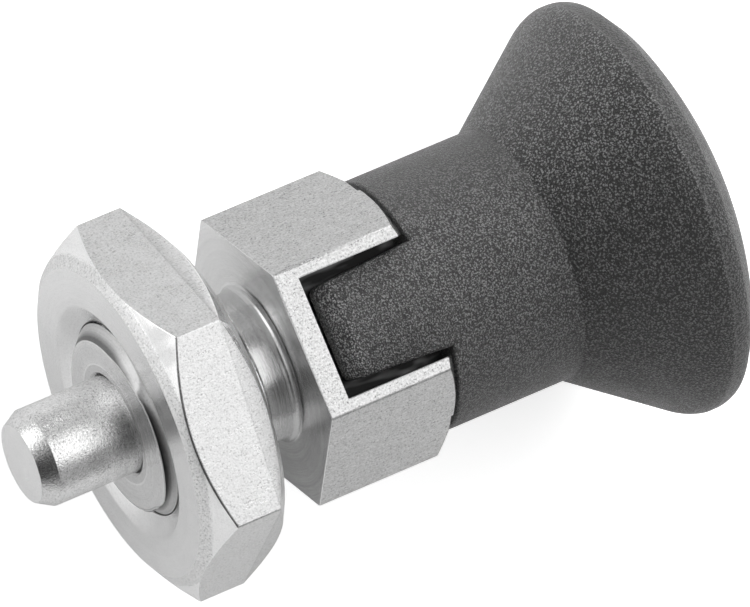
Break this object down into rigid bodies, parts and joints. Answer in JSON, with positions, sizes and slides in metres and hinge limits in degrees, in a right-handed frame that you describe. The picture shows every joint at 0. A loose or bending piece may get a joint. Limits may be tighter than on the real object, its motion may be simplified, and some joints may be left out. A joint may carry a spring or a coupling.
{
  "type": "indexing plunger",
  "caption": "Short spring-loaded indexing plunger: pointed pin in a threaded hexagon body with lock nut, and a mushroom grip whose tabs drop into notches to free or lock back the pin.",
  "frame": {"origin": "where the plunger's axis meets the front face of the body's hexagon, at the foot of the thread", "axes": "+X along the axis from the pin to the grip; Z through the two notches of the body; the hexagon's corners lie on +Y and -Y"},
  "size_m": [0.0375, 0.0214, 0.0214],
  "materials": {
    "body_steel": "fine ground, bare stainless",
    "pin_steel": "turned and ground, satin",
    "spring_steel": "drawn wire",
    "bush_steel": "turned",
    "grip_plastic": "black-grey plastic with a fine eroded texture",
    "nut_steel": "turned and tumbled, bare stainless"
  },
  "bodies": {
    "housing": {"body": "body_steel", "retaining_bush": "bush_steel", "spring": "spring_steel"},
    "plunger": {"plunger_pin": "pin_steel", "grip": "grip_plastic"},
    "nut": {"lock_nut": "nut_steel"}
  },
  "joints": [
    {"name": "pull", "type": "slide", "parent": "housing", "child": "plunger", "axis": [1, 0, 0], "range_m": [0, 0.0055], "stiffness_N_per_m": 1800, "springref_m": -0.003, "deforming": ["spring"]},
    {"name": "nut_turn", "type": "hinge", "parent": "housing", "child": "nut", "pos_m": [-0.0055, 0, 0], "axis": [1, 0, 0], "continuous": true}
  ]
}
